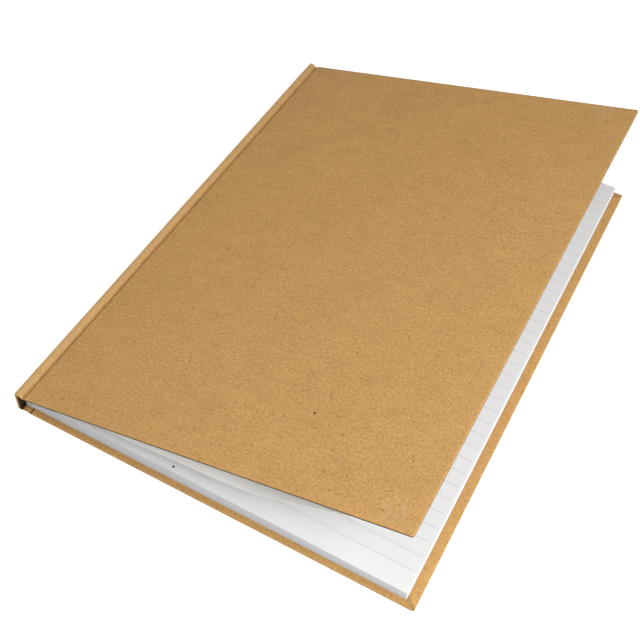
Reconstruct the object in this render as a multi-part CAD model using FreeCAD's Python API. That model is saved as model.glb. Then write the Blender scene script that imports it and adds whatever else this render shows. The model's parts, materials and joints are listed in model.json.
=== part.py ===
"""Case-bound kraft notebook, lying on its back cover with the front cover ajar.

Frame: origin at the centre of the outer face of the back cover, +X towards the fore-edge, +Y towards the head,
+Z up.  Every x below is measured from the outer face of the spine, and every z from the table; place() moves the
finished shapes into the frame.  Millimetres.
"""
import FreeCAD, Part
import math
import os

Vector = FreeCAD.Vector

# Case: two boards, a spine board and the kraft paper that covers them
COVER_WIDTH = 212.0
COVER_HEIGHT = 297.0
BOARD = 1.3
SPINE_BOARD = 1.0
KRAFT = 0.14
TURN_IN = 15.0
SPINE_TURN_IN = 12.0
SPINE_TURN_IN_INSET = 0.4
BACK_BOARD_START = 8.1
BOARD_CORNER = 1.0
BOARD_EDGE_ROUND = 0.35
MITRE_GAP = 0.2
MITRE_START = 2.0
MITRE_OVERRUN = 1.0
SPINE_EDGE_ROUND = 0.5

# Creases of the front joint, as (x, z), and the swing of the front cover at rest
SHOULDER_CREASE = (1.22, 12.25)
GROOVE_CREASE = (6.0, 11.8)
FRONT_GROOVE = (4.95, 10.5)
BACK_GROOVE = (4.9, 1.1)
SPINE_HEIGHT = 12.2
REST_SWING = 14.42
CREASE_GAP = 0.05

# Run of the covering paper on either side of the bottom of each groove, as (x, z) from it, and where it ends
FRONT_GROOVE_RUN = ((-1.8, 1.15), (-0.7, 0.45), (0.0, 0.0))
BACK_GROOVE_RUN = ((-1.4, -0.4), (0.0, 0.0), (1.6, -0.5))
FRONT_GROOVE_END_DROP = 0.45
BACK_GROOVE_END_RISE = 0.05

# Endpapers
ENDPAPER = 0.12
ENDPAPER_GAP = 0.05
PASTEDOWN_SQUARE = 3.3
PASTEDOWN_FORE_SQUARE = 5.4
PASTEDOWN_HINGE_INSET = 1.0
FOLD_START = 3.9
FOLD_END = 6.5
MULL = 0.1
MULL_FLANGE_WIDTH = 24.0
MULL_HEIGHT = 264.0

# Text block
SQUARE = 3.0
FORE_SQUARE = 5.1
FOLD_X = 3.1
BLOCK_TOP_AT_SPINE = 9.2
BLOCK_TOP_AT_FORE_EDGE = 7.5
SECTIONS = 8
SECTION_GAP = 0.01
TURNING_LEAVES = 3
LEAF = 0.09
LEAF_GAP = 0.03
LEAF_HINGE_X = 6.0
LEAF_HINGE_STEP = 0.35

# Spine linings, between the folds of the sections and the hollow of the spine
GLUE = 0.52
GLUE_X = 2.54
SPINE_MULL_X = 2.40
LINING = 0.18
LINING_X = 2.2
LINING_HEIGHT = 284.0
LINING_BOTTOM_INSET = 0.1
LINING_TOP_INSET = 0.4
THREAD_RADIUS = 0.2
THREAD_SLOT = 0.5
THREAD_END_INSET = 0.2
SEWING_STATIONS = (-120.0, -84.0, -28.0, 28.0, 84.0, 120.0)

# Lifted flyleaf: the curve of its under side from the gutter to its fore-edge, as (x, z)
FLYLEAF_CURVE = (
    (6.6, 9.32),
    (34.0, 13.1),
    (64.0, 17.2),
    (92.0, 20.6),
    (116.0, 23.7),
    (133.0, 27.7),
    (148.0, 34.7),
    (162.0, 41.6),
    (198.2, 57.4),
)

# How far a cutting shape runs past what it cuts, and the least distance that counts as apart
OVERRUN = 1.0
TOLERANCE = 0.01

HALF_HEIGHT = COVER_HEIGHT / 2
PAGE_HALF_HEIGHT = HALF_HEIGHT - SQUARE
FORE_EDGE_X = COVER_WIDTH - FORE_SQUARE
BOARD_WIDTH = COVER_WIDTH - BACK_BOARD_START
COVER_THICKNESS = BOARD + 2 * KRAFT
BACK_ENDPAPER_Z = COVER_THICKNESS + ENDPAPER + ENDPAPER_GAP
BLOCK_BOTTOM = BACK_ENDPAPER_Z + ENDPAPER + ENDPAPER_GAP
LEAF_PITCH = LEAF + LEAF_GAP


def box(x0, x1, y0, y1, z0, z1):
    return Part.makeBox(x1 - x0, y1 - y0, z1 - z0, Vector(x0, y0, z0))


def extrude(edges, half_height):
    """Solid between -half_height and +half_height along Y from a closed outline drawn in the XZ plane."""
    face = Part.Face(Part.Wire(edges))
    face.translate(Vector(0, -half_height, 0))
    return face.extrude(Vector(0, 2 * half_height, 0))


def polygon(points, half_height):
    corners = [Vector(x, 0, z) for x, z in points]
    return extrude(Part.makePolygon(corners + corners[:1]).Edges, half_height)


def curve(points):
    spline = Part.BSplineCurve()
    spline.interpolate([Vector(x, 0, z) for x, z in points])
    return spline


def sheet(points, thickness, half_height):
    """Bent sheet: its under side passes through the points, and its upper side lies one thickness above."""
    lower = curve(points)
    upper_points = []
    for x, z in points:
        along = lower.tangent(lower.parameter(Vector(x, 0, z)))[0]
        upper_points.append((x - along.z * thickness, z + along.x * thickness))
    upper = curve(upper_points)
    ends = [
        Part.makeLine(lower.EndPoint, upper.EndPoint),
        Part.makeLine(upper.StartPoint, lower.StartPoint),
    ]
    return extrude([lower.toShape(), ends[0], upper.toShape(), ends[1]], half_height)


def pleat(points, thickness, half_height):
    """Creased sheet: straight runs between the points of its under side, mitred at each crease."""
    upper = []
    for i, (x, z) in enumerate(points):
        before = unit_normal(points[max(i - 1, 0)], points[max(i, 1)])
        after = unit_normal(points[min(i, len(points) - 2)], points[min(i + 1, len(points) - 1)])
        share = 1 + before[0] * after[0] + before[1] * after[1]
        upper.append((
            x + thickness * (before[0] + after[0]) / share,
            z + thickness * (before[1] + after[1]) / share,
        ))
    return polygon(points + upper[::-1], half_height)


def unit_normal(start, end):
    dx = end[0] - start[0]
    dz = end[1] - start[1]
    length = math.hypot(dx, dz)
    return -dz / length, dx / length


def rounded_plate(x0, x1, half_height, z0, z1, corner, edge_round):
    """Flat plate whose two fore-edge corners and outer edges are rounded; its hinge edge at x0 stays square."""
    plate = box(x0, x1, -half_height, half_height, z0, z1)
    upright = [e for e in plate.Edges if is_upright(e) and e.CenterOfMass.x > x0 + TOLERANCE]
    plate = plate.makeFillet(corner, upright)
    rim = [e for e in plate.Edges if not is_upright(e) and e.CenterOfMass.x > x0 + TOLERANCE]
    return plate.makeFillet(edge_round, rim)


def is_upright(edge):
    return abs(edge.Vertexes[0].Z - edge.Vertexes[-1].Z) > TOLERANCE


def block_top(x):
    slope = (BLOCK_TOP_AT_FORE_EDGE - BLOCK_TOP_AT_SPINE) / (FORE_EDGE_X - FOLD_X)
    return BLOCK_TOP_AT_SPINE + slope * (x - FOLD_X)


def cover_pieces():
    """One cover, outer face down at z = 0, hinge edge at x = 0, in the order it is built up."""
    board = rounded_plate(
        0, BOARD_WIDTH - KRAFT, HALF_HEIGHT - KRAFT, KRAFT, KRAFT + BOARD,
        BOARD_CORNER, BOARD_EDGE_ROUND,
    )
    wrap = rounded_plate(
        0, BOARD_WIDTH, HALF_HEIGHT, 0, COVER_THICKNESS,
        BOARD_CORNER + KRAFT, BOARD_EDGE_ROUND + KRAFT,
    )
    window_x = BOARD_WIDTH - TURN_IN
    window_y = HALF_HEIGHT - TURN_IN
    window = box(-OVERRUN, window_x, -window_y, window_y, KRAFT + BOARD / 2, COVER_THICKNESS + OVERRUN)
    paper = wrap.cut([board, window, mitre(1), mitre(-1)])
    flange_z = KRAFT + BOARD
    flange = box(
        PASTEDOWN_HINGE_INSET, MULL_FLANGE_WIDTH, -MULL_HEIGHT / 2, MULL_HEIGHT / 2,
        flange_z, flange_z + MULL,
    )
    pastedown_y = HALF_HEIGHT - PASTEDOWN_SQUARE
    pastedown = box(
        PASTEDOWN_HINGE_INSET, BOARD_WIDTH - PASTEDOWN_FORE_SQUARE, -pastedown_y, pastedown_y,
        COVER_THICKNESS, COVER_THICKNESS + ENDPAPER,
    )
    return {"board": board, "cover_paper": paper, "mull_flange": flange, "pastedown": pastedown}


def mitre(side):
    """Thin diagonal cut where the turned-in papers of two edges meet at a fore-edge corner."""
    length = TURN_IN * math.sqrt(2) + MITRE_OVERRUN
    top = COVER_THICKNESS + OVERRUN
    slot = box(-length, -MITRE_START, -MITRE_GAP / 2, MITRE_GAP / 2, KRAFT + BOARD, top)
    slot.rotate(Vector(0, 0, 0), Vector(0, 0, 1), side * 45)
    slot.translate(Vector(BOARD_WIDTH, side * HALF_HEIGHT, 0))
    return slot


def lay_back(shape):
    shape.translate(Vector(BACK_BOARD_START, 0, 0))
    return shape


def hang_front(shape):
    """Turns a cover piece over and hangs it from the groove crease at the angle it rests at."""
    shape.rotate(Vector(0, 0, 0), Vector(1, 0, 0), 180)
    shape.rotate(Vector(0, 0, 0), Vector(0, 1, 0), -REST_SWING)
    shape.translate(Vector(GROOVE_CREASE[0], 0, GROOVE_CREASE[1]))
    return shape


def joint_papers():
    """The two strips of covering paper pressed into the grooves between the spine and the boards."""
    x_start = SHOULDER_CREASE[0] + CREASE_GAP
    front_start = (x_start, SHOULDER_CREASE[1] - KRAFT - CREASE_GAP)
    front_end = (GROOVE_CREASE[0] - KRAFT - CREASE_GAP, GROOVE_CREASE[1] - FRONT_GROOVE_END_DROP)
    front = [front_start] + groove_run(FRONT_GROOVE, FRONT_GROOVE_RUN) + [front_end]
    back_end = (BACK_BOARD_START - CREASE_GAP - KRAFT, BACK_GROOVE_END_RISE)
    back = [(x_start, 0)] + groove_run(BACK_GROOVE, BACK_GROOVE_RUN) + [back_end]
    return pleat(front, KRAFT, HALF_HEIGHT), pleat(back, KRAFT, HALF_HEIGHT)


def groove_run(bottom, run):
    return [(bottom[0] + x, bottom[1] + z) for x, z in run]


def spine_pieces():
    """Spine board standing at the back of the block, and the paper wrapped round it and over its two ends."""
    x0 = KRAFT
    x1 = KRAFT + SPINE_BOARD
    board = box(x0, x1, -HALF_HEIGHT + KRAFT, HALF_HEIGHT - KRAFT, KRAFT, SPINE_HEIGHT - KRAFT)
    board = board.makeFillet(SPINE_EDGE_ROUND, [e for e in board.Edges if is_outer_ridge(e, x0)])
    wrap = box(0, x1, -HALF_HEIGHT, HALF_HEIGHT, 0, SPINE_HEIGHT)
    wrap = wrap.makeFillet(SPINE_EDGE_ROUND + KRAFT, [e for e in wrap.Edges if is_outer_ridge(e, 0)])
    z0 = KRAFT + SPINE_TURN_IN_INSET
    z1 = SPINE_HEIGHT - KRAFT - SPINE_TURN_IN_INSET
    turn_ins = []
    for side in (-1, 1):
        inner, outer = sorted((side * (HALF_HEIGHT - SPINE_TURN_IN), side * HALF_HEIGHT))
        turn_ins.append(box(x1, x1 + KRAFT, inner, outer, z0, z1))
    paper = wrap.cut(board).fuse(turn_ins).removeSplitter()
    return board, paper


def is_outer_ridge(edge, x):
    return edge.Length > COVER_HEIGHT / 2 and abs(edge.CenterOfMass.x - x) < TOLERANCE


def section(index):
    """One folded section, counted from the front: its leaves taper to the fore-edge, and its fold is rounded."""
    lowest = BLOCK_BOTTOM
    leaves = TURNING_LEAVES * LEAF_PITCH + LEAF_GAP

    def height(x, share):
        top = block_top(x) - leaves
        return lowest + (top - lowest) * share

    upper = 1 - (index - 1) / SECTIONS
    lower = 1 - index / SECTIONS
    z_top = height(FOLD_X, upper) - SECTION_GAP
    z_bottom = height(FOLD_X, lower)
    radius = (z_top - z_bottom) / 2
    x_flat = FOLD_X + radius
    points = [
        Vector(x_flat, 0, z_bottom),
        Vector(FORE_EDGE_X, 0, height(FORE_EDGE_X, lower)),
        Vector(FORE_EDGE_X, 0, height(FORE_EDGE_X, upper) - SECTION_GAP),
        Vector(x_flat, 0, z_top),
    ]
    edges = [Part.makeLine(a, b) for a, b in zip(points, points[1:])]
    fold = Part.Arc(points[3], Vector(FOLD_X, 0, z_bottom + radius), points[0])
    return extrude(edges + [fold.toShape()], PAGE_HALF_HEIGHT)


def spine_linings():
    """Glue over the folds with the sewing thread let into it, then mull, then a paper lining."""
    z0 = BLOCK_BOTTOM + LINING_BOTTOM_INSET
    z1 = BLOCK_TOP_AT_SPINE - LINING_TOP_INSET
    half = LINING_HEIGHT / 2
    glue = box(GLUE_X, GLUE_X + GLUE, -half, half, z0, z1)
    x_slot = GLUE_X + GLUE - THREAD_SLOT
    half_slot = THREAD_SLOT / 2
    threads = []
    for y in SEWING_STATIONS:
        slot = box(x_slot, FOLD_X, y - half_slot, y + half_slot, z0 - OVERRUN, z1 + OVERRUN)
        glue = glue.cut(slot)
        base = Vector(x_slot + half_slot, y, z0 + THREAD_END_INSET)
        threads.append(Part.makeCylinder(THREAD_RADIUS, z1 - z0 - 2 * THREAD_END_INSET, base))
    mull = box(SPINE_MULL_X, SPINE_MULL_X + MULL, -MULL_HEIGHT / 2, MULL_HEIGHT / 2, z0, z1)
    lining = box(LINING_X, LINING_X + LINING, -half, half, z0, z1)
    return glue, Part.makeCompound(threads), mull, lining


def turning_leaf(index):
    """Leaf of the first section that turns on its own, counted from the front."""
    depth = (index - 1) * LEAF_PITCH
    x0 = LEAF_HINGE_X + CREASE_GAP + (index - 1) * LEAF_HINGE_STEP
    points = [
        (x0, block_top(x0) - depth - LEAF),
        (FORE_EDGE_X, block_top(FORE_EDGE_X) - depth - LEAF),
        (FORE_EDGE_X, block_top(FORE_EDGE_X) - depth),
        (x0, block_top(x0) - depth),
    ]
    return polygon(points, PAGE_HALF_HEIGHT)


def endpapers():
    """Folded gutter strip and lifted flyleaf at the front, and the flyleaf that lies on the back cover."""
    fold_z = BLOCK_TOP_AT_SPINE + ENDPAPER_GAP
    fold = box(FOLD_START, FOLD_END, -PAGE_HALF_HEIGHT, PAGE_HALF_HEIGHT, fold_z, fold_z + ENDPAPER)
    front = sheet(FLYLEAF_CURVE, ENDPAPER, PAGE_HALF_HEIGHT)
    back = box(
        LEAF_HINGE_X + CREASE_GAP, FORE_EDGE_X, -PAGE_HALF_HEIGHT, PAGE_HALF_HEIGHT,
        BACK_ENDPAPER_Z, BACK_ENDPAPER_Z + ENDPAPER,
    )
    return fold, front, back


def build():
    nodes = {}
    for name, shape in cover_pieces().items():
        nodes["back_" + name] = lay_back(shape.copy())
        nodes["front_" + name] = hang_front(shape.copy())
    nodes["front_joint_paper"], nodes["back_joint_paper"] = joint_papers()
    nodes["spine_board"], nodes["spine_paper"] = spine_pieces()
    for index in range(1, SECTIONS + 1):
        nodes[f"section_{index}"] = section(index)
    glue, thread, mull, lining = spine_linings()
    nodes["spine_glue"] = glue
    nodes["sewing_thread"] = thread
    nodes["spine_mull"] = mull
    nodes["spine_lining"] = lining
    for index in range(1, TURNING_LEAVES + 1):
        nodes[f"leaf_{index}"] = turning_leaf(index)
    nodes["front_endpaper_fold"], nodes["front_flyleaf"], nodes["back_flyleaf"] = endpapers()
    return nodes


def place(shape):
    shape.translate(Vector(-COVER_WIDTH / 2, 0, 0))
    return shape


os.makedirs("parts", exist_ok=True)
for name, shape in build().items():
    place(shape).exportStep(f"parts/{name}.step")
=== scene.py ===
"""Looks of a case-bound kraft notebook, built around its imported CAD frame.

Lengths are in millimetres.  x is measured from the outer face of the spine towards the fore-edge, y from
the middle of the book towards the head, and z from the table; metres() turns such a point into the frame's
own metres.
"""
import json
import math
import random

import bmesh
import bpy
import numpy as np
from mathutils import Matrix, Vector


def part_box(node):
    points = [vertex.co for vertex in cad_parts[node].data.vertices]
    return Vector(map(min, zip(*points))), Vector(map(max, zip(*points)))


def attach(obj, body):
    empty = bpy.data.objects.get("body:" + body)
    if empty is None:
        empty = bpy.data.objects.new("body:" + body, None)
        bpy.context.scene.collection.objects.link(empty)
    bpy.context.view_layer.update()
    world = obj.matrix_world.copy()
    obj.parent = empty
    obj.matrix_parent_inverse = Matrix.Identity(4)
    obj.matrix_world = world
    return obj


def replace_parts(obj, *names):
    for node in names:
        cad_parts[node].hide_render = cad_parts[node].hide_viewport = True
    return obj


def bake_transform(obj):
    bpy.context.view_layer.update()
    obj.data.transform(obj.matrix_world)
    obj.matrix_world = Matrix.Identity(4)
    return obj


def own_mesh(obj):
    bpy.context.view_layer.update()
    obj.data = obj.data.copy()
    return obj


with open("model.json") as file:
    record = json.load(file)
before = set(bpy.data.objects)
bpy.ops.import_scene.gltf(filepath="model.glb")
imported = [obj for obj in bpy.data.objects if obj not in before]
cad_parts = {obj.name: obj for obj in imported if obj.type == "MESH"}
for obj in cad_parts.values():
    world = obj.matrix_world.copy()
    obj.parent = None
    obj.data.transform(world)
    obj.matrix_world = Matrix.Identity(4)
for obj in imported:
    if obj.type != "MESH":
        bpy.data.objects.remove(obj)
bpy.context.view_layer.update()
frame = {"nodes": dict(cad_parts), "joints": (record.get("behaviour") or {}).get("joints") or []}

MM = 0.001
SPINE_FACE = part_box("spine_paper")[0].x


def metres(point):
    return Vector((point[0] * MM + SPINE_FACE, point[1] * MM, point[2] * MM))


def measure(node):
    """Lowest and highest corner of a CAD node in millimetres."""
    shift = Vector((SPINE_FACE, 0, 0))
    return [(corner - shift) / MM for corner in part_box(node)]


def crease(joint):
    """Where a joint's axis lies, in millimetres."""
    place = next(j["pos_m"] for j in frame["joints"] if j["name"] == joint)
    return Vector((place[0] - SPINE_FACE, place[1], place[2])) / MM


# Sizes read from the frame
HALF_HEIGHT = measure("spine_paper")[1].y
SPINE_HEIGHT = measure("spine_paper")[1].z
BACK_START = measure("back_board")[0].x
COVER_WIDTH = measure("back_cover_paper")[1].x
COVER_THICKNESS = measure("back_cover_paper")[1].z
BOARD_WIDTH = COVER_WIDTH - BACK_START
KRAFT = measure("back_board")[0].z
SPINE_DEPTH = measure("spine_board")[1].x + KRAFT
PAGE_HALF_HEIGHT = measure("leaf_1")[1].y
FORE_EDGE = measure("leaf_1")[1].x
BLOCK_BOTTOM = measure("section_8")[0].z
VALLEY_Z = measure("front_joint_paper")[0].z + KRAFT
RIDGE_Z = measure("back_joint_paper")[1].z
PASTEDOWN = measure("back_pastedown")[1].z - measure("back_pastedown")[0].z
SHOULDER = crease("front_shoulder_crease")
GROOVE = crease("front_groove_crease")
SECTIONS = 8
TURNING_LEAVES = 3


def rest_swing():
    """Angle of the ajar front cover, from how its flat pastedown's box differs from the lying one's."""
    low, high = measure("back_pastedown")
    width, thickness = high.x - low.x, high.z - low.z
    low, high = measure("front_pastedown")
    across, up = high.x - low.x, high.z - low.z
    return math.atan2(width * up - thickness * across, width * across - thickness * up)


SWING = rest_swing()
COVER_ALONG = Vector((math.cos(SWING), 0, math.sin(SWING)))
COVER_UP = Vector((-math.sin(SWING), 0, math.cos(SWING)))

# Details that the frame doesn't hold
VALLEY_X = GROOVE.x - 1.05  # bottom of the front groove
BACK_RIDGE_X = 4.9  # top of the paper pressed up into the back groove
DOUBLE_KRAFT = 0.3  # kraft folded over on itself, as at the ends of the joints
EDGE_ROUND = 0.4
CORNER_ROUND = 1.15
SPINE_ROUND = SPINE_DEPTH * 0.45
SKIRT = 1.6  # margin of an outer face that belongs to its turned-over edge
TURN_IN = 15.0  # paper turned in over the inner side of a board
MITRE_START = SKIRT + 0.05  # from here inwards the turned-in margins stand apart at the corners
MITRE_GAP = 0.25
JOINT_RUN = 7.0  # paper between the ridge of the spine and the front board, measured flat
SPINE_LAP = 0.3  # the spine's paper stops this far before the shoulder crease
SHOULDER_LAP = 0.6  # the shoulder's paper starts this far before it, LAP_LIFT above the spine's
LAP_LIFT = 0.02
SHOULDER_FULLNESS = 1.7  # above 1, the shoulder falls late
GROOVE_PULL = 0.4  # how far before the board's edge the groove's curve is drawn
GROOVE_LAP = 0.6  # how far past the board's edge it ends
SHARED_STATIONS = 4  # stations at the end of that curve where the board's own paper lies
BACK_LAP = 0.05  # how far the back joint's paper reaches under the back board
BACK_FULLNESS = 1.5  # above 1, the back joint's paper rises late
PAGE = 0.085
SHEETS = 4  # folded sheets in a section
SECTION_PAPER = PAGE * 0.8  # thinner than a page, so that the sheets show as separate
SECTION_INSET = PAGE / 4  # between a section's outer sheets and its neighbours
SECTION_STEP = 25.0  # mesh steps of the flat parts
LEAF_STEP = 12.0
FLYLEAF_STEP = 4.0
BACK_FLYLEAF_STEP = 20.0
PAGE_END_TRIM = (-0.12, 0.02)  # how unevenly the sheets are cut at the tail and head
PAGE_FORE_TRIM = (-0.16, 0.02)  # and at the fore-edge
FOLD_STEPS = 8
FINE_STEP = 0.5  # mesh step where a sheet bends
BEND = 8.0  # width of that stretch beside the crease
LEAF_START = measure("section_1")[0].x + 1.1
LEAF_LAYER = 100  # layer numbers in the flat coordinate: sections 10 to 83, leaves 110 to 130
LAYER_STEP = 10
FLYLEAF_LAYER = 300
SHEET_STEP = 4.0
RULE_PITCH = 8.0
RULES = 34
FIRST_RULE = 10.9 - PAGE_HALF_HEIGHT
RULE_END = FORE_EDGE - 1.6
RULE_START = 9.0
SWELL = 0.5
LINING_HALF_HEIGHT = PAGE_HALF_HEIGHT - 3
LINING_GAP = 0.05  # between a lining and the kraft above it
GUTTER_RISE = 1.2  # the front lining's steps above the block and below the ridge
BACK_LINING_END = 2.5

dice = random.Random(11)


# ---------------------------------------------------------------- mesh tools
def spaced(start, end, step):
    """Evenly spaced values from start to end, both included."""
    count = max(2, round(abs(end - start) / step) + 1)
    return [float(value) for value in np.linspace(start, end, count)]


def quarter_turn(steps):
    """Evenly spaced angles from 0 to 90 degrees, in radians."""
    return [math.radians(90 * k / steps) for k in range(steps + 1)]


class Skin:
    """A sheet under construction: welded points, where each lies on the flat sheet, and faces."""

    def __init__(self):
        self.points = []
        self.flats = []
        self.faces = []
        self.known = {}

    def corner(self, point, flat):
        key = tuple(round(value, 4) for value in point)
        if key not in self.known:
            self.known[key] = len(self.points)
            self.points.append(metres(point))
            self.flats.append(flat)
        return self.known[key]

    def grid(self, points, flats):
        """Faces between neighbouring points of a table; where corners fall together, triangles or none."""
        rows = [[self.corner(p, f) for p, f in zip(*row)] for row in zip(points, flats)]
        for near, far in zip(rows, rows[1:]):
            for i in range(len(near) - 1):
                loop = [near[i], far[i], far[i + 1], near[i + 1]]
                loop = [index for k, index in enumerate(loop) if index != loop[k - 1]]
                if len(set(loop)) > 2:
                    self.faces.append(loop)


def thick_sheet(name, skin, thickness, outward, material):
    """Closed piece from a skin: its outer side is the skin, its inner side lies one thickness below."""
    mesh = bpy.data.meshes.new(name)
    mesh.from_pydata(skin.points, [], skin.faces)
    shape = bmesh.new()
    shape.from_mesh(mesh)
    bmesh.ops.recalc_face_normals(shape, faces=shape.faces)
    shape.faces.ensure_lookup_table()
    if shape.faces[0].normal.dot(Vector(outward)) < 0:
        bmesh.ops.reverse_faces(shape, faces=shape.faces)
    shape.normal_update()
    flat = shape.verts.layers.float_vector.new("flat")
    outer = list(shape.verts)
    outer_faces = list(shape.faces)
    rim = [edge for edge in shape.edges if edge.is_boundary]
    inner = {}
    for vertex, place in zip(outer, skin.flats):
        vertex[flat] = place
        inner[vertex] = shape.verts.new(vertex.co - vertex.normal * thickness * MM)
        inner[vertex][flat] = place
    for edge in rim:
        loop = edge.link_loops[0]
        a, b = loop.vert, loop.link_loop_next.vert
        shape.faces.new((b, a, inner[a], inner[b]))
    for face in outer_faces:
        shape.faces.new([inner[vertex] for vertex in reversed(face.verts)])
    return finished(name, mesh, shape, material)


def finished(name, mesh, shape, material):
    shape.to_mesh(mesh)
    shape.free()
    mesh.shade_smooth()
    mesh.set_sharp_from_angle(angle=math.radians(40))
    mesh.materials.append(material)
    piece = bpy.data.objects.new(name, mesh)
    bpy.context.scene.collection.objects.link(piece)
    return piece


def along(points):
    """Running length of a polyline of (x, z) points, for the flat coordinate."""
    total = [0.0]
    for a, b in zip(points, points[1:]):
        total.append(total[-1] + math.dist(a, b))
    return total


def endpaper_strip(name, path, flats, half_height, outward, material):
    """Endpaper that follows a path of (x, z) points and runs straight from the tail to the head."""
    skin = Skin()
    ys = spaced(-half_height, half_height, 20)
    points = [[(x, y, z) for y in ys] for x, z in path]
    skin.grid(points, [[(flat, y, 0) for y in ys] for flat in flats])
    return thick_sheet(name, skin, PASTEDOWN, outward, material)


def bend(piece):
    """Bake the piece's placement into its mesh."""
    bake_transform(piece)


# ---------------------------------------------------------------- kraft covering
def end_profile(depth):
    """Section across a turned-over edge, as (inset from the edge, drop below the outer face)."""
    radius = min(EDGE_ROUND, depth / 2)
    over = [(radius * (1 - math.sin(a)), radius * (1 - math.cos(a))) for a in quarter_turn(4)]
    under = [(inset, depth - drop) for inset, drop in reversed(over)]
    turned = [(SKIRT, depth), (MITRE_START, depth), (TURN_IN / 2, depth), (TURN_IN, depth)]
    return [(SKIRT, 0)] + over + under + turned


# Index of the profile's point at MITRE_START
TURNED_FROM = len(end_profile(COVER_THICKNESS)) - 3


def wrapped(skin, stations):
    """Outer face over the stations, and the paper turned over both ends.

    A station is (outer point, inner point, flat coordinate); the points are (x, z)."""
    ys = spaced(-HALF_HEIGHT + SKIRT, HALF_HEIGHT - SKIRT, SHEET_STEP)
    skin.grid(
        [[(outer[0], y, outer[1]) for y in ys] for outer, inner, flat in stations],
        [[(flat, y, 0) for y in ys] for outer, inner, flat in stations],
    )
    for side in (-1, 1):
        points, flats = [], []
        for outer, inner, flat in stations:
            depth = math.dist(outer, inner)
            profile = end_profile(depth)
            lengths = along(profile)
            row = []
            for inset, drop in profile:
                x = outer[0] + (inner[0] - outer[0]) * drop / depth
                z = outer[1] + (inner[1] - outer[1]) * drop / depth
                row.append((x, side * (HALF_HEIGHT - inset), z))
            points.append(row)
            flats.append([(flat, side * (HALF_HEIGHT - SKIRT + run), 0) for run in lengths])
        skin.grid(points, flats)


def plate(skin, place, flat_start):
    """Kraft round one board: outer face, rounded edges and corners, and the turned-in margins.

    place(u, y, drop) gives the point at u from the hinge edge and drop below the outer face."""
    profile = end_profile(COVER_THICKNESS)
    lengths = along(profile)
    skirt_x = BOARD_WIDTH - SKIRT
    skirt_y = HALF_HEIGHT - SKIRT
    us = spaced(0, skirt_x, SHEET_STEP)
    ys = spaced(-skirt_y, skirt_y, SHEET_STEP)
    skin.grid(
        [[place(u, y, 0) for y in ys] for u in us],
        [[(flat_start + u, y, 0) for y in ys] for u in us],
    )
    edge_us = us + [BOARD_WIDTH - CORNER_ROUND]
    edge_ys = [-HALF_HEIGHT + CORNER_ROUND] + ys + [HALF_HEIGHT - CORNER_ROUND]

    def gap(k):
        return MITRE_GAP if k >= TURNED_FROM else 0

    for side in (-1, 1):
        points, flats = [], []
        for u in edge_us:
            points.append([
                place(min(u, BOARD_WIDTH - inset - gap(k)), side * (HALF_HEIGHT - inset), drop)
                for k, (inset, drop) in enumerate(profile)
            ])
            flats.append([(flat_start + u, side * (skirt_y + run), 0) for run in lengths])
        skin.grid(points, flats)
        points, flats = [], []
        for angle in quarter_turn(6):
            row, flat_row = [], []
            for (inset, drop), run in list(zip(profile, lengths))[:TURNED_FROM]:
                radius = max(CORNER_ROUND - inset, 0)
                centre = max(CORNER_ROUND, inset)
                row.append(place(
                    BOARD_WIDTH - centre + radius * math.sin(angle),
                    side * (HALF_HEIGHT - centre + radius * math.cos(angle)),
                    drop,
                ))
                flat_row.append((
                    flat_start + skirt_x + run * math.sin(angle),
                    side * (skirt_y + run * math.cos(angle)),
                    0,
                ))
            points.append(row)
            flats.append(flat_row)
        skin.grid(points, flats)
    points, flats = [], []
    for y in edge_ys:
        row = []
        for k, (inset, drop) in enumerate(profile):
            limit = HALF_HEIGHT - inset - gap(k)
            row.append(place(BOARD_WIDTH - inset, max(-limit, min(limit, y)), drop))
        points.append(row)
        flats.append([(flat_start + skirt_x + run, y, 0) for run in lengths])
    skin.grid(points, flats)


def front_place(u, y, drop):
    spot = GROOVE + COVER_ALONG * u - COVER_UP * drop
    return (spot.x, y, spot.z)


def back_place(u, y, drop):
    return (BACK_START + u, y, drop)


def front_flat(u):
    """Flat coordinate on the front cover, counted on from the spine and the joint."""
    return SPINE_HEIGHT + JOINT_RUN + u


def spine_kraft(material):
    """Paper over the spine board: under its foot, up its face and over its ridge."""
    foot = [(SPINE_ROUND * (1 - math.sin(a)), SPINE_ROUND * (1 - math.cos(a))) for a in quarter_turn(5)]
    face = [(0.0, z) for z in spaced(SPINE_ROUND, SPINE_HEIGHT - SPINE_ROUND, SHEET_STEP)[1:]]
    ridge = [(x, SPINE_HEIGHT - z) for x, z in reversed(foot)][1:]
    outline = [(SPINE_DEPTH, 0.0)] + foot + face + ridge + [(SHOULDER.x - SPINE_LAP, SPINE_HEIGHT)]
    stations = []
    for point, flat in zip(outline, along(outline)):
        height = min(max(point[1], DOUBLE_KRAFT), SPINE_HEIGHT - DOUBLE_KRAFT)
        stations.append((point, (SPINE_DEPTH, height), flat - SPINE_DEPTH))
    stations[0] = ((SPINE_DEPTH, 0.0), (SPINE_DEPTH, DOUBLE_KRAFT), -SPINE_DEPTH)
    skin = Skin()
    wrapped(skin, stations)
    return thick_sheet("spine_kraft", skin, KRAFT, (0, 0, -1), material)


def doubled(outline, flat_start):
    """Stations of a joint strip, two papers thick; seen from the tail, the inner one is on the right
    of someone who follows the outline."""
    stations = []
    for k, (point, flat) in enumerate(zip(outline, along(outline))):
        before, after = outline[max(k - 1, 0)], outline[min(k + 1, len(outline) - 1)]
        run = math.dist(before, after)
        normal = ((before[1] - after[1]) / run, (after[0] - before[0]) / run)
        inner = (point[0] - normal[0] * DOUBLE_KRAFT, point[1] - normal[1] * DOUBLE_KRAFT)
        stations.append((point, inner, flat_start + flat))
    return stations


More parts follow.
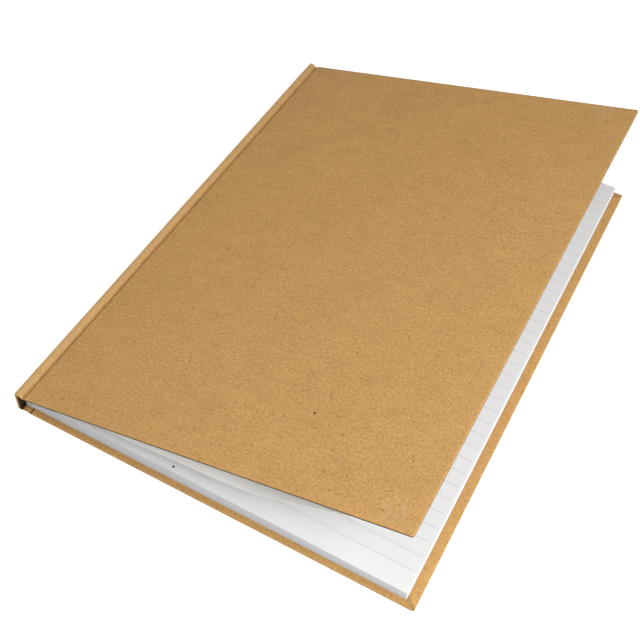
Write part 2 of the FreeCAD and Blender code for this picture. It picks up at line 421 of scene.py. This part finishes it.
def shoulder_outline():
    """From the ridge over the convex shoulder down to the bottom of the groove."""
    start = (SHOULDER.x - SHOULDER_LAP, SPINE_HEIGHT + LAP_LIFT)
    outline = []
    for t in spaced(0, 1, 0.07):
        fall = (1 - math.cos(math.pi * t ** SHOULDER_FULLNESS)) / 2
        outline.append((start[0] + (VALLEY_X - start[0]) * t, start[1] - (start[1] - VALLEY_Z) * fall))
    return outline


def shoulder_kraft(material):
    skin = Skin()
    wrapped(skin, doubled(shoulder_outline(), SPINE_HEIGHT))
    piece = thick_sheet("front_shoulder_kraft", skin, KRAFT, (0, 0, 1), material)
    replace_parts(piece, "front_joint_paper")
    return piece


def groove_outline():
    """From the bottom of the groove up the board's hinge edge to its outer face, as a quadratic curve."""
    start = Vector((VALLEY_X, 0, VALLEY_Z))
    pull = GROOVE - COVER_ALONG * GROOVE_PULL
    end = GROOVE + COVER_ALONG * GROOVE_LAP
    outline = []
    for t in spaced(0, 1, 0.1):
        spot = start * (1 - t) ** 2 + pull * 2 * t * (1 - t) + end * t ** 2
        outline.append((spot.x, spot.z))
    return outline


def front_cover_kraft(material):
    skin = Skin()
    plate(skin, front_place, front_flat(0))
    slope = doubled(groove_outline(), 0)
    length = slope[-1][2]
    own = slope[:-SHARED_STATIONS]
    stations = [(outer, inner, front_flat(0) - length + flat) for outer, inner, flat in own]
    wrapped(skin, stations)
    piece = thick_sheet("front_cover_kraft", skin, KRAFT, COVER_UP, material)
    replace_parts(piece, "front_cover_paper")
    return piece


def back_cover_kraft(material):
    skin = Skin()
    plate(skin, back_place, -front_flat(0) - BOARD_WIDTH)
    piece = thick_sheet("back_cover_kraft", skin, KRAFT, (0, 0, -1), material)
    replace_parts(piece, "back_cover_paper")
    return piece


def back_joint_kraft(material):
    """Paper pressed up into the back groove, between the board's hinge edge and the foot of the spine."""
    outline = []
    start, end = SPINE_DEPTH, BACK_START + BACK_LAP
    for x in spaced(end, start, 0.4):
        foot = start if x < BACK_RIDGE_X else end
        rise = math.sin((x - foot) / (BACK_RIDGE_X - foot) * math.pi / 2) ** BACK_FULLNESS
        outline.append((x, (RIDGE_Z - DOUBLE_KRAFT) * rise))
    skin = Skin()
    wrapped(skin, doubled(outline, -front_flat(0)))
    piece = thick_sheet("back_joint_kraft", skin, KRAFT, (0, 0, -1), material)
    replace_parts(piece, "back_joint_paper")
    return piece


# ---------------------------------------------------------------- pages
def swell(x):
    """How far the pages bulge over the straight line from the folds to the fore-edge."""
    return SWELL * math.sin(math.pi * max(0, min(x / FORE_EDGE, 1)))


def page_top(x):
    """Upper face of the block under the turning leaves, read from the first section and the last leaf."""
    at_fold = measure("section_1")[1].z
    at_fore_edge = measure(f"leaf_{TURNING_LEAVES}")[0].z
    return at_fold + (at_fore_edge - at_fold) * x / FORE_EDGE + swell(x)


def block_height(x, share):
    """Height in the block at x, a share of the way from its lowest page to its highest."""
    return BLOCK_BOTTOM + (page_top(x) - BLOCK_BOTTOM) * share


def section(index, material):
    """Folded sheets of one section, nested; the first section lacks the halves that turn on their own."""
    fold_x = measure("section_1")[0].x
    upper = 1 - (index - 1) / SECTIONS
    lower = 1 - index / SECTIONS
    upper_halves = SHEETS - TURNING_LEAVES if index == 1 else SHEETS
    halves = upper_halves + SHEETS
    reach = fold_x + (block_height(fold_x, upper) - block_height(fold_x, lower)) / 2
    shape = Skin()

    def page_height(x, share):
        top, bottom = block_height(x, upper) - SECTION_INSET, block_height(x, lower) + SECTION_INSET
        return bottom + (top - bottom) * share

    for sheet in range(SHEETS):
        high = 1 - max(sheet - (SHEETS - upper_halves), 0) / halves
        low = sheet / halves
        edge = [FORE_EDGE + dice.uniform(*PAGE_FORE_TRIM) for _ in range(2)]
        path = []
        if sheet >= SHEETS - upper_halves:
            path += [(x, page_height(x, high)) for x in spaced(edge[0], reach, SECTION_STEP)]
        top, bottom = page_height(reach, high), page_height(reach, low)
        radius = (top - bottom) / 2
        for k in range(1, FOLD_STEPS):
            angle = math.pi * k / FOLD_STEPS
            path.append((reach - radius * math.sin(angle), (top + bottom) / 2 + radius * math.cos(angle)))
        path += [(x, page_height(x, low)) for x in spaced(reach, edge[1], SECTION_STEP)]
        half = [PAGE_HALF_HEIGHT + dice.uniform(*PAGE_END_TRIM) for _ in range(2)]
        ys = [-half[0], -half[0] / 2, 0, half[1] / 2, half[1]]
        layer = index * LAYER_STEP + sheet
        shape.grid(
            [[(x, y, z) for y in ys] for x, z in path],
            [[(x, y, layer) for y in ys] for x, z in path],
        )
    piece = thick_sheet(f"pages_{index}", shape, SECTION_PAPER, (0, 0, 1), material)
    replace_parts(piece, f"section_{index}")
    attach(piece, "block")


def turning_leaf(index, material):
    node = f"leaf_{index}"
    low, high = measure(node)
    slope = (low.z + PAGE - high.z) / (high.x - low.x)
    pivot = crease(f"leaf_{index}_turn")
    bend_end = pivot.x + BEND
    xs = spaced(LEAF_START, pivot.x, FINE_STEP) + spaced(pivot.x, bend_end, FINE_STEP)[1:]
    xs += spaced(bend_end, high.x, LEAF_STEP)[1:]
    skin = Skin()
    ys = spaced(-PAGE_HALF_HEIGHT, PAGE_HALF_HEIGHT, LEAF_STEP)
    skin.grid(
        [[(x, y, high.z + slope * (x - low.x) + swell(x)) for y in ys] for x in xs],
        [[(x, y, LEAF_LAYER + index * LAYER_STEP) for y in ys] for x in xs],
    )
    piece = thick_sheet(f"page_{node}", skin, PAGE, (0, 0, 1), material)
    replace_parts(piece, node)
    bend(piece)


def flyleaf_shape():
    """Height of the lifted flyleaf over x, as a smooth fit through its CAD solid."""
    shift = Vector((SPINE_FACE, 0, 0))
    spots = [(v.co - shift) / MM for v in frame["nodes"]["front_flyleaf"].data.vertices]
    low, high = measure("front_flyleaf")
    xs, zs = [spot.x for spot in spots], [spot.z for spot in spots]
    return np.polynomial.Polynomial.fit(xs, zs, deg=9, domain=[low.x, high.x])


def front_flyleaf(material):
    low, high = measure("front_flyleaf")
    shape = flyleaf_shape()
    skin = Skin()
    ys = spaced(-PAGE_HALF_HEIGHT, PAGE_HALF_HEIGHT, 2 * FLYLEAF_STEP)
    xs = spaced(low.x, high.x, FLYLEAF_STEP)
    skin.grid(
        [[(x, y, float(shape(x))) for y in ys] for x in xs],
        [[(x, y, FLYLEAF_LAYER) for y in ys] for x in xs],
    )
    piece = thick_sheet("flyleaf_sheet", skin, PASTEDOWN, (0, 0, 1), material)
    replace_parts(piece, "front_flyleaf")
    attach(piece, "flyleaf")
    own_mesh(piece)


def endpaper_fold(material):
    low, high = measure("front_endpaper_fold")
    xs = spaced(low.x, high.x, FINE_STEP)
    path = [(x, high.z) for x in xs]
    piece = endpaper_strip("endpaper_fold_sheet", path, xs, PAGE_HALF_HEIGHT, (0, 0, 1), material)
    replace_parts(piece, "front_endpaper_fold")
    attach(piece, "endpaper_fold")


def back_flyleaf(material):
    low, high = measure("back_flyleaf")
    bend_end = low.x + BEND
    xs = spaced(low.x - 2, bend_end, FINE_STEP) + spaced(bend_end, high.x, BACK_FLYLEAF_STEP)[1:]
    path = [(x, high.z) for x in xs]
    piece = endpaper_strip("back_flyleaf_sheet", path, xs, PAGE_HALF_HEIGHT, (0, 0, 1), material)
    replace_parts(piece, "back_flyleaf")
    bend(piece)


def lining(name, path, outward, material):
    """Strip of white endpaper over the inside of a joint."""
    return endpaper_strip(name, path, along(path), LINING_HALF_HEIGHT, outward, material)


def under_shoulder():
    """Line just below the shoulder's kraft, from the ridge to the bottom of the groove."""
    return [(x, z - DOUBLE_KRAFT - LINING_GAP) for x, z in shoulder_outline()[2:]]


def front_gutter_lining(material):
    """From the folds of the block up beside the spine board and along under the shoulder."""
    block_top = measure("section_1")[1].z
    path = [
        (2.3, block_top),
        (1.9, block_top + GUTTER_RISE),
        (SPINE_DEPTH + 0.22, SPINE_HEIGHT - GUTTER_RISE),
    ]
    path += [point for point in under_shoulder() if point[0] > SHOULDER.x + 0.3]
    piece = lining("front_gutter_lining", path, (1, 0, -0.3), material)
    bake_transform(piece)


def front_hinge_lining(material):
    """From the bottom of the groove round the board's hinge edge on to the pastedown."""
    path = [under_shoulder()[-1]]
    for u, drop in (
        (-0.3, COVER_THICKNESS * 0.6),
        (0.3, COVER_THICKNESS + 0.1),
        (1.4, COVER_THICKNESS + PASTEDOWN + 0.01),
    ):
        x, y, z = front_place(u, 0, drop)
        path.append((x, z))
    piece = lining("front_hinge_lining", path, (1, 0, -1), material)
    bend(piece)


def back_gutter_lining(material):
    """From the back pastedown over the ridge of the back joint to the lowest page."""
    low, high = measure("back_pastedown")
    path = [
        (low.x + 1, high.z + 0.02),
        (BACK_START - 0.2, COVER_THICKNESS + 0.1),
        (BACK_RIDGE_X + 1.4, RIDGE_Z + 0.35),
        (BACK_RIDGE_X, RIDGE_Z + 0.35),
        (BACK_RIDGE_X - 1.4, RIDGE_Z + 0.3),
        (BACK_LINING_END, BLOCK_BOTTOM + 0.2),
    ]
    piece = lining("back_gutter_lining", path, (0, 0, 1), material)
    bend(piece)


# ---------------------------------------------------------------- materials
class Shader:
    """Short way of writing a node material; each method adds one node and gives back its output."""

    def __init__(self, name, stored=True):
        self.material = bpy.data.materials.new(name)
        self.material.use_nodes = True
        self.tree = self.material.node_tree
        self.surface = self.tree.nodes["Principled BSDF"]
        if stored:
            self.place = self.node("Attribute", attribute_name="flat").outputs["Vector"]
        else:
            local = self.node("TexCoord").outputs["Object"]
            self.place = self.vector("MULTIPLY", local, (1 / MM, 1 / MM, 1 / MM))
        parts = self.node("SeparateXYZ", {0: self.place})
        self.x, self.y, self.z = parts.outputs

    def node(self, kind, inputs=None, **settings):
        made = self.tree.nodes.new("ShaderNode" + kind)
        for key, value in settings.items():
            setattr(made, key, value)
        for key, value in (inputs or {}).items():
            self.feed(made.inputs[key], value)
        return made

    def feed(self, socket, value):
        if isinstance(value, bpy.types.NodeSocket):
            self.tree.links.new(value, socket)
        elif socket.type == "RGBA":
            socket.default_value = (*value, 1)
        else:
            socket.default_value = value

    def math(self, operation, a, b=0.0):
        return self.node("Math", {0: a, 1: b}, operation=operation).outputs[0]

    def vector(self, operation, a, b):
        return self.node("VectorMath", {0: a, 1: b}, operation=operation).outputs[0]

    def noise(self, size, detail=2.0, stretch=(1, 1, 1), roughness=0.5, shift=(0, 0, 0)):
        """Cloudy value from 0 to 1 whose blotches are about size millimetres across."""
        place = self.vector("MULTIPLY", self.vector("ADD", self.place, shift), stretch)
        made = self.node(
            "TexNoise", {"Vector": place, "Scale": 1 / size, "Detail": detail, "Roughness": roughness}
        )
        return made.outputs["Fac"]

    def band(self, value, low, high):
        """0 below low, 1 above high, smooth between; the other way round when low is above high."""
        swap = low > high
        made = self.node(
            "MapRange",
            {0: value, 1: min(low, high), 2: max(low, high), 3: float(swap), 4: float(not swap)},
            interpolation_type="SMOOTHSTEP",
        )
        return made.outputs[0]

    def window(self, value, start, full, fading, end):
        """Rises from 0 at start to 1 at full, and falls from fading back to 0 at end."""
        return self.all_of(self.band(value, start, full), self.band(value, end, fading))

    def all_of(self, *masks):
        total = masks[0]
        for mask in masks[1:]:
            total = self.math("MULTIPLY", total, mask)
        return total

    def centred(self, value, amount):
        """Swings from -amount/2 to amount/2 as the value goes from 0 to 1."""
        return self.math("MULTIPLY", self.math("SUBTRACT", value, 0.5), amount)

    def uneven(self, *blotches):
        """Brightness around 1, from pairs of a value from 0 to 1 and how far that makes it swing."""
        return self.sum(1.0, *[self.centred(value, amount) for value, amount in blotches])

    def sum(self, *values):
        total = values[0]
        for value in values[1:]:
            total = self.math("ADD", total, value)
        return total

    def mix(self, share, a, b):
        made = self.node("Mix", data_type="RGBA")
        for socket, value in zip((made.inputs[0], made.inputs[6], made.inputs[7]), (share, a, b)):
            self.feed(socket, value)
        return made.outputs[2]

    def tinted(self, colour, mask, share, other):
        """The colour, turned a share of the way to the other one where the mask is 1."""
        return self.mix(self.math("MULTIPLY", mask, share), colour, other)

    def brighten(self, colour, factor):
        grey = self.node("CombineXYZ", {0: factor, 1: factor, 2: factor}).outputs[0]
        return self.vector("MULTIPLY", colour, grey)

    def fibres(self, cell, length, width, density, shift):
        """Mask of short straight hairs, at most one in each cell, each lying its own way."""
        place = self.vector("ADD", self.place, shift)
        flat = self.vector("MULTIPLY", place, (1, 1, 0))
        cells = self.node("TexVoronoi", {"Vector": flat, "Scale": 1 / cell, "Randomness": 1.0})
        offset = self.vector("SUBTRACT", flat, cells.outputs["Position"])
        chance = self.node("SeparateColor", {0: cells.outputs["Color"]})
        turn = self.math("MULTIPLY", chance.outputs[0], math.tau)
        turned = self.node("VectorRotate", {"Vector": offset, "Angle": turn}, rotation_type="Z_AXIS")
        parts = self.node("SeparateXYZ", {0: turned.outputs[0]})
        squared = self.math("MULTIPLY", parts.outputs[0], parts.outputs[0])
        bow = self.math("MULTIPLY", squared, 0.25 / length)
        across = self.math("ABSOLUTE", self.math("ADD", parts.outputs[1], bow))
        reach = self.math("MULTIPLY", chance.outputs[2], length)
        beyond = self.math("SUBTRACT", self.math("ABSOLUTE", parts.outputs[0]), reach)
        return self.all_of(
            self.band(across, width, width * 0.4),
            self.band(beyond, 0.1 * length, -0.1 * length),
            self.math("LESS_THAN", chance.outputs[1], density),
        )

    def spot(self, x, y, radius, softness):
        """Mask of one round mark."""
        away = self.vector("SUBTRACT", self.vector("MULTIPLY", self.place, (1, 1, 0)), (x, y, 0))
        distance = self.node("VectorMath", {0: away}, operation="LENGTH").outputs["Value"]
        return self.band(distance, radius + softness, radius)

    def bump(self, height, depth):
        """Relief whose full height is depth millimetres."""
        made = self.node("Bump", {"Height": height, "Distance": depth * MM, "Strength": 1.0})
        self.feed(self.surface.inputs["Normal"], made.outputs[0])

    def finish(self, colour, roughness, specular):
        self.feed(self.surface.inputs["Base Color"], colour)
        self.feed(self.surface.inputs["Roughness"], roughness)
        self.feed(self.surface.inputs["Specular IOR Level"], specular)
        return self.material


KRAFT_COLOUR = (0.545, 0.312, 0.112)
# pale fibres and smudges, and the colour of the painted highlight on the ridge
KRAFT_PALE = (0.560, 0.400, 0.225)
KRAFT_DARK = (0.105, 0.050, 0.018)
SPECK = (0.012, 0.008, 0.006)
EDGE_SHADE = (0.060, 0.044, 0.012)
RECESS_SHADE = (0.020, 0.007, 0.004)
GROOVE_SHADE = (0.26, 0.13, 0.04)
KRAFT_WARM = (0.46, 0.235, 0.07)
# Single marks: from the front board's hinge edge on the cover, from the spine on the page; then y
KNOT = (137.0, -107.1)
TAIL_SMUDGE = (192, 8 - HALF_HEIGHT)
HEAD_SMUDGE = (187, HALF_HEIGHT - 6)
PAGE_DOT = (86.2, -143.1)
# Painted shade and painted shadow along the run of paper over an edge, counted from SKIRT inside it:
# start, full, fading and end
COVER_FOLD = (1.6, 1.85, 3.2, 3.5)
SPINE_FOLD = (1.75, 1.9, 2.7, 2.9)
FORE_FOLD = (1.9, 2.1, 3.2, 3.5)
BACK_FOLD = (1.5, 1.7, 2.1, 2.3)
BACK_MARGIN = (2.1, 2.3, 3.0, 14.0)
# Painted highlight on the ridge and painted shade in the groove, along the flat coordinate from the ridge
# of the spine into the front joint
RIDGE_HIGHLIGHT = (0.0, 1.0, 2.4, 3.8)
DARK_GROOVE = (3.1, 4.6, 5.0, JOINT_RUN)


def painted_shade_and_highlight(paper, colour):
    """Painted highlight on the ridge; painted shade in the groove, on the folded edges and in the recesses
    at the tail and head.
    """
    past_spine = paper.math("SUBTRACT", paper.x, SPINE_HEIGHT)
    # painted highlight: the rounded ridge of the spine made paler
    ridge = paper.window(past_spine, *RIDGE_HIGHLIGHT)
    colour = paper.tinted(colour, ridge, 0.30, KRAFT_PALE)
    # painted shade in the groove beside the shoulder
    groove = paper.window(past_spine, *DARK_GROOVE)
    colour = paper.tinted(colour, groove, 0.40, GROOVE_SHADE)
    run = paper.math("SUBTRACT", paper.math("ABSOLUTE", paper.y), HALF_HEIGHT - SKIRT)
    fore_run = paper.math("SUBTRACT", paper.x, front_flat(BOARD_WIDTH - SKIRT))
    past_board = paper.math("ADD", paper.x, front_flat(0))
    on_cover = paper.band(past_spine, 0, 0.5)
    on_spine = paper.all_of(paper.band(paper.x, -2.5, -2.0), paper.band(past_spine, 0.5, 0))
    on_back = paper.band(paper.x, -2.0, -2.5)
    hollow = paper.all_of(paper.band(past_board, 5.2, 5.9), on_back)
    hinge = paper.all_of(paper.window(past_board, 0, 0.2, 1.1, 1.5), on_back)
    inside = paper.band(run, 1.9, 2.1)
    # painted shade on the edges and in the hollows, and a painted shadow on the back cover's margin, row
    # by row
    for share, shade, masks in (
        # painted shade on the rounded tail and head edges of the front cover and shoulder
        (0.92, EDGE_SHADE, (on_cover, paper.window(run, *COVER_FOLD))),
        # painted shade on the spine's end at the tail and head
        (0.42, EDGE_SHADE, (on_spine, paper.window(run, *SPINE_FOLD))),
        # painted shade along the front cover's fore-edge
        (0.80, EDGE_SHADE, (paper.window(fore_run, *FORE_FOLD),)),
        # painted shade along the back cover's tail and head edges
        (0.75, EDGE_SHADE, (on_back, paper.window(run, *BACK_FOLD))),
        # painted shadow of the front cover on the back cover's turned-in tail and head margins
        (0.20, EDGE_SHADE, (on_back, paper.window(run, *BACK_MARGIN))),
        # painted shade in the hollow inside the spine, in the back groove and at the back board's hinge
        # edge
        (0.95, RECESS_SHADE, (on_spine, paper.band(run, 2.6, 2.8))),
        (0.93, RECESS_SHADE, (hollow, inside)),
        (0.80, RECESS_SHADE, (hinge, inside)),
    ):
        colour = paper.tinted(colour, paper.all_of(*masks), share, shade)
    return colour


def kraft_material():
    paper = Shader("kraft")
    cloud = paper.noise(38)
    mottle = paper.noise(1.5, 3, roughness=0.62)
    formation = paper.noise(6.5, 2, stretch=(0.7, 1.2, 1), shift=(0, 0, 30))
    grain = paper.noise(0.75, 2, roughness=0.7)
    streak = paper.noise(1.1, 2, stretch=(0.22, 1.4, 1), shift=(0, 0, 9))
    level = paper.uneven((cloud, 0.10), (formation, 0.22), (mottle, 0.75), (grain, 0.75), (streak, 0.14))
    colour = paper.brighten(KRAFT_COLOUR, level)
    warm = paper.band(paper.noise(9, 3, shift=(40, 7, 3)), 0.55, 0.85)
    colour = paper.tinted(colour, warm, 0.16, KRAFT_WARM)
    light_hairs = paper.fibres(cell=1.8, length=0.9, width=0.13, density=0.55, shift=(3, 5, 0))
    colour = paper.tinted(colour, light_hairs, 0.26, KRAFT_PALE)
    dark_hairs = paper.fibres(cell=2.3, length=0.9, width=0.13, density=0.42, shift=(11, 2, 0))
    colour = paper.tinted(colour, dark_hairs, 0.42, KRAFT_DARK)
    long_hairs = paper.fibres(cell=9.0, length=1.6, width=0.17, density=0.32, shift=(1, 17, 0))
    colour = paper.tinted(colour, long_hairs, 0.75, KRAFT_DARK)
    flecks = paper.fibres(cell=4.6, length=0.42, width=0.26, density=0.34, shift=(7, 9, 0))
    colour = paper.tinted(colour, flecks, 0.75, KRAFT_DARK)
    smudges = paper.math(
        "MAXIMUM",
        paper.spot(front_flat(TAIL_SMUDGE[0]), TAIL_SMUDGE[1], 1, 9),
        paper.spot(front_flat(HEAD_SMUDGE[0]), HEAD_SMUDGE[1], 1, 8),
    )
    smudges = paper.math("MULTIPLY", smudges, paper.band(paper.noise(3, 3), 0.35, 0.7))
    colour = paper.tinted(colour, smudges, 0.5, KRAFT_PALE)
    knot = paper.spot(front_flat(KNOT[0]), KNOT[1], 0.42, 0.3)
    colour = paper.mix(knot, colour, SPECK)
    # painted highlight and painted shade laid over the paper's own colour
    colour = painted_shade_and_highlight(paper, colour)
    paper.bump(paper.sum(paper.centred(grain, 0.5), paper.centred(mottle, 0.4), light_hairs), 0.02)
    roughness = paper.math("ADD", paper.centred(mottle, 0.12), 0.74)
    return paper.finish(colour, roughness, specular=0.10)


PAPER_WHITE = (0.68, 0.68, 0.685)
ENDPAPER_WHITE = (0.83, 0.83, 0.82)
RULE_GREY = (0.43, 0.45, 0.47)
# painted shade for the tail and head faces of the block
PAGE_END_SHADE = (0.50, 0.51, 0.53)
# painted highlight for the fore-edges of the turning leaves and of the sections
LEAF_FORE_HIGHLIGHT = (0.95, 0.95, 0.96)
SECTION_FORE_HIGHLIGHT = (0.84, 0.85, 0.87)


def page_material(name, white, ruled):
    paper = Shader(name)
    level = paper.uneven((paper.noise(0.8, 2, roughness=0.7), 0.025), (paper.noise(12, 2), 0.02))
    colour = paper.brighten(white, level)
    if ruled:
        along_page = paper.math("DIVIDE", paper.math("SUBTRACT", paper.y, FIRST_RULE), RULE_PITCH)
        off = paper.math("ABSOLUTE", paper.math("SUBTRACT", along_page, paper.math("ROUND", along_page)))
        line = paper.all_of(
            paper.band(off, 0.031, 0.021),
            paper.band(along_page, -0.5, -0.45),
            paper.band(along_page, RULES - 0.45, RULES - 0.5),
            paper.band(paper.x, RULE_END, RULE_END - 0.2),
            paper.band(paper.x, RULE_START, RULE_START + 0.2),
        )
        ink = paper.band(paper.noise(0.7, 1, shift=(9, 9, 9)), 0.1, 0.5)
        share = paper.math("MULTIPLY", line, paper.math("ADD", 0.5, paper.math("MULTIPLY", ink, 0.2)))
        colour = paper.mix(share, colour, RULE_GREY)
        in_section = paper.math("LESS_THAN", paper.z, LEAF_LAYER)
        from_middle = paper.math("ABSOLUTE", paper.y)
        # painted shade on the tail and head faces of the sections
        ends = paper.band(from_middle, PAGE_HALF_HEIGHT - 0.3, PAGE_HALF_HEIGHT - 0.15)
        colour = paper.tinted(colour, paper.all_of(in_section, ends), 0.6, PAGE_END_SHADE)
        # painted highlight on the fore-edge of every sheet
        fore = paper.band(paper.x, FORE_EDGE - 0.45, FORE_EDGE - 0.25)
        colour = paper.mix(fore, colour, paper.mix(in_section, LEAF_FORE_HIGHLIGHT, SECTION_FORE_HIGHLIGHT))
        top_leaf = paper.window(paper.z, *(LEAF_LAYER + LAYER_STEP + off for off in (-5, -2, 2, 5)))
        dot = paper.math("MULTIPLY", paper.spot(*PAGE_DOT, 0.4, 0.4), top_leaf)
        colour = paper.mix(dot, colour, SPECK)
    paper.bump(paper.noise(0.5, 2), 0.008)
    return paper.finish(colour, 0.62, specular=0.25)


BOARD_GREY = (0.20, 0.17, 0.14)
CLOTH_GAPS = (0.25, 0.21, 0.15)
MULL_TINT = (0.72, 0.66, 0.5)
LINING_TINT = (0.42, 0.28, 0.14)
GLUE_TINT = (0.74, 0.68, 0.5)
THREAD_TINT = (0.82, 0.8, 0.74)


def greyboard_material():
    board = Shader("greyboard", stored=False)
    level = board.uneven((board.noise(1.2, 3), 0.3), (board.noise(0.3, 1), 0.25))
    colour = board.brighten(BOARD_GREY, level)
    board.bump(board.noise(0.4, 2), 0.05)
    return board.finish(colour, 0.9, specular=0.1)


def endpaper_material():
    """For the pastedowns, which are flat CAD nodes."""
    paper = Shader("pastedown", stored=False)
    level = paper.uneven((paper.noise(0.9, 2), 0.025), (paper.noise(14, 2), 0.02))
    colour = paper.brighten(ENDPAPER_WHITE, level)
    paper.bump(paper.sum(paper.noise(0.5, 2), paper.noise(9, 1)), 0.012)
    return paper.finish(colour, 0.65, specular=0.25)


def cloth_material(name, tint, thread, gap):
    """Open plain weave: crossing threads with dark gaps between them."""
    cloth = Shader(name, stored=False)
    warp = cloth.math("ABSOLUTE", cloth.math("SINE", cloth.math("MULTIPLY", cloth.y, math.pi / thread)))
    weft = cloth.math("ABSOLUTE", cloth.math("SINE", cloth.math("MULTIPLY", cloth.z, math.pi / thread)))
    woven = cloth.math("MAXIMUM", cloth.band(warp, gap, gap + 0.2), cloth.band(weft, gap, gap + 0.2))
    level = cloth.sum(0.9, cloth.centred(cloth.noise(0.6, 2), 0.2))
    colour = cloth.mix(woven, CLOTH_GAPS, cloth.brighten(tint, level))
    cloth.bump(woven, 0.06)
    return cloth.finish(colour, 0.85, specular=0.1)


def plain_material(name, tint, spread, roughness):
    """Glue, lining and thread: one tint, broken up by two sizes of blotches."""
    stuff = Shader(name, stored=False)
    level = stuff.uneven((stuff.noise(2, 3), spread), (stuff.noise(0.3, 1), spread / 2))
    stuff.bump(stuff.noise(0.6, 3), 0.05)
    return stuff.finish(stuff.brighten(tint, level), roughness, specular=0.3)


def paint(material, *nodes):
    for node in nodes:
        slots = frame["nodes"][node].data.materials
        slots.clear()
        slots.append(material)


# ---------------------------------------------------------------- studio
FLOOR_HALF = 3.0  # metres
FLOOR_DROP = 0.0002  # metres below the back cover


def floor(material):
    corners = [(x * FLOOR_HALF, y * FLOOR_HALF, 0) for x, y in ((-1, -1), (1, -1), (1, 1), (-1, 1))]
    mesh = bpy.data.meshes.new("floor")
    mesh.from_pydata(corners, [], [(0, 1, 2, 3)])
    mesh.materials.append(material)
    piece = bpy.data.objects.new("floor", mesh)
    piece.location.z = -FLOOR_DROP
    bpy.context.scene.collection.objects.link(piece)


FLOOR_WHITE = (0.93, 0.93, 0.93)
FLOOR_GLOW = 0.45


def floor_material():
    surface = Shader("floor", stored=False)
    colour = surface.brighten(FLOOR_WHITE, surface.uneven((surface.noise(90, 2), 0.01)))
    surface.surface.inputs["Emission Strength"].default_value = FLOOR_GLOW
    surface.feed(surface.surface.inputs["Emission Color"], (1, 1, 1))
    return surface.finish(colour, 0.8, specular=0.1)


SKY_LIGHT = 0.38
BACKDROP = 0.95


def lamp(name, direction, distance, size, power):
    """Square lamp that shines on the frame's origin from a direction and a distance in metres."""
    data = bpy.data.lights.new(name, "AREA")
    data.size = size
    data.energy = power
    light = bpy.data.objects.new(name, data)
    back = Vector(direction).normalized()
    light.location = back * distance
    light.rotation_mode = "QUATERNION"
    light.rotation_quaternion = back.to_track_quat("Z", "Y")
    bpy.context.scene.collection.objects.link(light)


def studio():
    """White backdrop, weak light from all round, a near lamp by the fore-edge and one over the tail."""
    world = bpy.data.worlds.new("studio")
    world.use_nodes = True
    nodes, links = world.node_tree.nodes, world.node_tree.links
    nodes["Background"].inputs["Color"].default_value = (1, 1, 1, 1)
    strength = nodes.new("ShaderNodeMapRange")
    strength.inputs["To Min"].default_value = SKY_LIGHT
    strength.inputs["To Max"].default_value = BACKDROP
    links.new(nodes.new("ShaderNodeLightPath").outputs["Is Camera Ray"], strength.inputs["Value"])
    links.new(strength.outputs["Result"], nodes["Background"].inputs["Strength"])
    bpy.context.scene.world = world
    lamp("key", direction=(0.55, -0.30, 0.52), distance=0.72, size=0.5, power=3.9)
    lamp("top", direction=(-0.05, -0.45, 1.0), distance=0.75, size=0.5, power=1.6)
    bpy.context.scene.view_settings.view_transform = "Standard"


CAMERA_AZIMUTH = 24.45
CAMERA_ELEVATION = 51.04
CAMERA_ROLL = 4.64
CAMERA_SPOT = (242.93, -338.68, 424.99)
CAMERA_LENS = 58.27


def camera():
    data = bpy.data.cameras.new("camera")
    data.lens = CAMERA_LENS
    data.clip_start = 0.01
    azimuth, elevation = math.radians(CAMERA_AZIMUTH), math.radians(CAMERA_ELEVATION)
    back = Vector((
        math.sin(azimuth) * math.cos(elevation),
        -math.cos(azimuth) * math.cos(elevation),
        math.sin(elevation),
    ))
    level = back.to_track_quat("Z", "Y").to_matrix()
    roll = Matrix.Rotation(math.radians(CAMERA_ROLL), 3, "Z")
    turned = bpy.data.objects.new("camera", data)
    turned.matrix_world = Matrix.Translation(metres(CAMERA_SPOT)) @ (level @ roll).to_4x4()
    bpy.context.scene.collection.objects.link(turned)
    bpy.context.scene.camera = turned


# ---------------------------------------------------------------- build
kraft = kraft_material()
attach(back_cover_kraft(kraft), "back_cover")
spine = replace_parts(spine_kraft(kraft), "spine_paper")
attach(spine, "block")
shoulder = shoulder_kraft(kraft)
bend(shoulder)
front = front_cover_kraft(kraft)
bend(front)
bend(back_joint_kraft(kraft))

page = page_material("page", PAPER_WHITE, ruled=True)
blank = page_material("endpaper", ENDPAPER_WHITE, ruled=False)
for number in range(1, SECTIONS + 1):
    section(number, page)
for number in range(1, TURNING_LEAVES + 1):
    turning_leaf(number, page)
front_flyleaf(blank)
endpaper_fold(blank)
back_flyleaf(blank)
front_gutter_lining(blank)
front_hinge_lining(blank)
back_gutter_lining(blank)

paint(greyboard_material(), "back_board", "front_board", "spine_board")
paint(endpaper_material(), "back_pastedown", "front_pastedown")
mull = cloth_material("mull", MULL_TINT, thread=0.9, gap=0.35)
paint(mull, "back_mull_flange", "front_mull_flange", "spine_mull")
paint(plain_material("lining", LINING_TINT, spread=0.2, roughness=0.85), "spine_lining")
paint(plain_material("glue", GLUE_TINT, spread=0.15, roughness=0.4), "spine_glue")
paint(plain_material("thread", THREAD_TINT, spread=0.1, roughness=0.8), "sewing_thread")

floor(floor_material())
studio()
camera()
